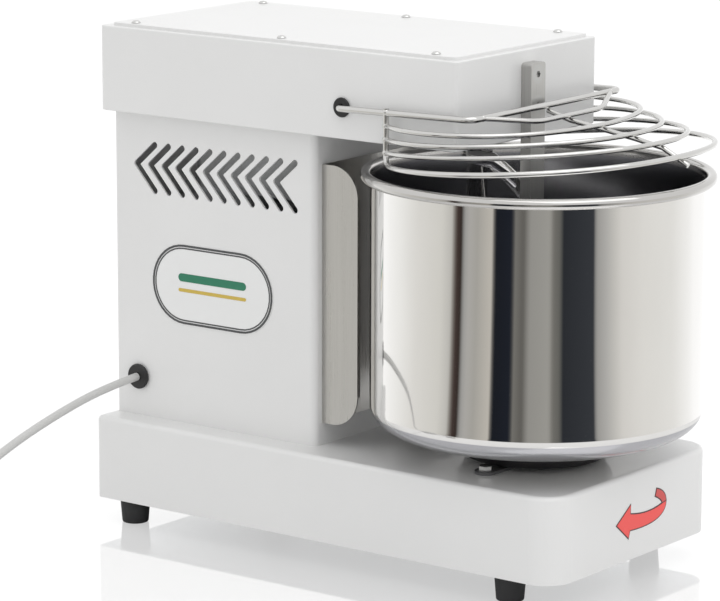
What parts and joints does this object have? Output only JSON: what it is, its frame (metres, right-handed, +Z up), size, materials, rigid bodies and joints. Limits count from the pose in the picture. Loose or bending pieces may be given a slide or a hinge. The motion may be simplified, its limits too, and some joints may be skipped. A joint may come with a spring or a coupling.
{
  "type": "spiral dough mixer",
  "caption": "Table-top spiral dough mixer: turning bowl, spiral tool, breaker bar, hinged wire guard and a belt-and-gear drive in a white casing.",
  "frame": {"origin": "under the middle of the machine, on the surface that its feet stand on", "axes": "+Z up; the bowl end faces -Y, the column and the head run back along +Y"},
  "size_m": [0.6267, 0.531, 0.4386],
  "materials": {
    "white_paint": "smooth white powder coat",
    "zinc_plate": "zinc-plated sheet",
    "black_rubber": "matt black rubber",
    "steel_screw": "plated screw steel",
    "brushed_stainless": "brushed stainless steel",
    "polished_stainless": "mirror-polished stainless steel",
    "guard_wire": "bright stainless wire",
    "black_plastic": "black plastic",
    "ground_steel": "ground shaft steel",
    "gear_steel": "hobbed gear steel",
    "bearing_steel": "bearing steel with dark seals",
    "cast_aluminium": "cast aluminium",
    "cast_iron": "grey cast iron",
    "copper_winding": "varnished copper wire",
    "belt_rubber": "black drive belt",
    "grey_paint": "grey paint",
    "capacitor_can": "white plastic can",
    "green_plastic": "green push button",
    "red_plastic": "red push button",
    "grey_cord": "light grey cable sheath",
    "grey_plug": "light grey moulded plug",
    "plug_brass": "nickel-plated brass pins"
  },
  "bodies": {
    "root": {"base_bottom_plate": "zinc_plate", "base_shell": "white_paint", "bowl_bearing_housing": "cast_iron", "bowl_bearings": "bearing_steel", "bowl_drive_belt": "belt_rubber", "bowl_flange_bolts": "steel_screw", "breaker_bar": "brushed_stainless", "breaker_bar_screws": "steel_screw", "casing_screws": "steel_screw", "chassis_plate": "zinc_plate", "column_back_cover": "white_paint", "column_shell": "white_paint", "cord_coil": "grey_cord", "cord_gland": "black_plastic", "drive_bearings": "bearing_steel", "fan_cover": "grey_paint", "feet_screws": "steel_screw", "gearbox_case": "cast_aluminium", "gearbox_lid": "cast_aluminium", "gearbox_screws": "steel_screw", "guard_bushings": "black_plastic", "guard_switch": "black_plastic", "head_lid": "white_paint", "head_shell": "white_paint", "mains_cord": "grey_cord", "motor_end_bell": "cast_aluminium", "motor_housing": "cast_aluminium", "motor_stator": "cast_iron", "motor_windings": "copper_winding", "plug_body": "grey_plug", "plug_pins": "plug_brass", "rubber_feet": "black_rubber", "run_capacitor": "capacitor_can", "spiral_bearing_housing": "cast_iron", "spiral_bearings": "bearing_steel", "spiral_drive_belt": "belt_rubber", "splash_plate": "brushed_stainless", "switch_housing": "black_plastic", "terminal_block": "black_plastic"},
    "bowl_turntable": {"bowl": "polished_stainless", "bowl_hub_disc": "black_plastic", "bowl_shaft": "ground_steel", "bowl_pulley": "cast_aluminium"},
    "spiral_tool": {"spiral_hook": "polished_stainless", "spiral_shaft": "polished_stainless", "spiral_pulley": "cast_aluminium"},
    "main_drive": {"main_shaft": "ground_steel", "main_gear": "gear_steel", "spiral_drive_pulley": "cast_aluminium", "bowl_drive_pulley": "cast_aluminium"},
    "layshaft_train": {"layshaft": "ground_steel", "layshaft_gear": "gear_steel"},
    "rotor": {"rotor_core": "cast_aluminium", "rotor_shaft": "ground_steel", "cooling_fan": "black_plastic", "motor_pinion": "gear_steel"},
    "guard": {"wire_guard": "guard_wire", "guard_collars": "ground_steel"},
    "start_key": {"start_button": "green_plastic"},
    "stop_key": {"stop_button": "red_plastic"}
  },
  "joints": [
    {"name": "main_shaft_spin", "type": "hinge", "parent": "root", "child": "main_drive", "pos_m": [0, 0.09755, 0.2], "axis": [0, 0, 1], "continuous": true},
    {"name": "layshaft_spin", "type": "hinge", "parent": "root", "child": "layshaft_train", "pos_m": [0, 0.14455, 0.32], "axis": [0, 0, 1], "continuous": true},
    {"name": "rotor_spin", "type": "hinge", "parent": "root", "child": "rotor", "pos_m": [0, 0.19155, 0.22], "axis": [0, 0, 1], "continuous": true},
    {"name": "bowl_spin", "type": "hinge", "parent": "root", "child": "bowl_turntable", "pos_m": [0, -0.11985, 0.08], "axis": [0, 0, 1], "continuous": true},
    {"name": "spiral_spin", "type": "hinge", "parent": "root", "child": "spiral_tool", "pos_m": [0, -0.05845, 0.37], "axis": [0, 0, 1], "continuous": true},
    {"name": "guard_hinge", "type": "hinge", "parent": "root", "child": "guard", "pos_m": [0, 0.00515, 0.3872], "axis": [-1, 0, 0], "range_deg": [0, 100]},
    {"name": "start_button_press", "type": "slide", "parent": "root", "child": "start_key", "axis": [-1, 0, 0], "range_m": [0, 0.004], "stiffness_N_per_m": 300},
    {"name": "stop_button_press", "type": "slide", "parent": "root", "child": "stop_key", "axis": [-1, 0, 0], "range_m": [0, 0.004], "stiffness_N_per_m": 300}
  ],
  "couplings": [
    {"joint": "layshaft_spin", "follows": "main_shaft_spin", "ratio": -3.2727},
    {"joint": "rotor_spin", "follows": "main_shaft_spin", "ratio": 10.711},
    {"joint": "bowl_spin", "follows": "main_shaft_spin", "ratio": 0.2},
    {"joint": "spiral_spin", "follows": "main_shaft_spin", "ratio": 1.2}
  ]
}
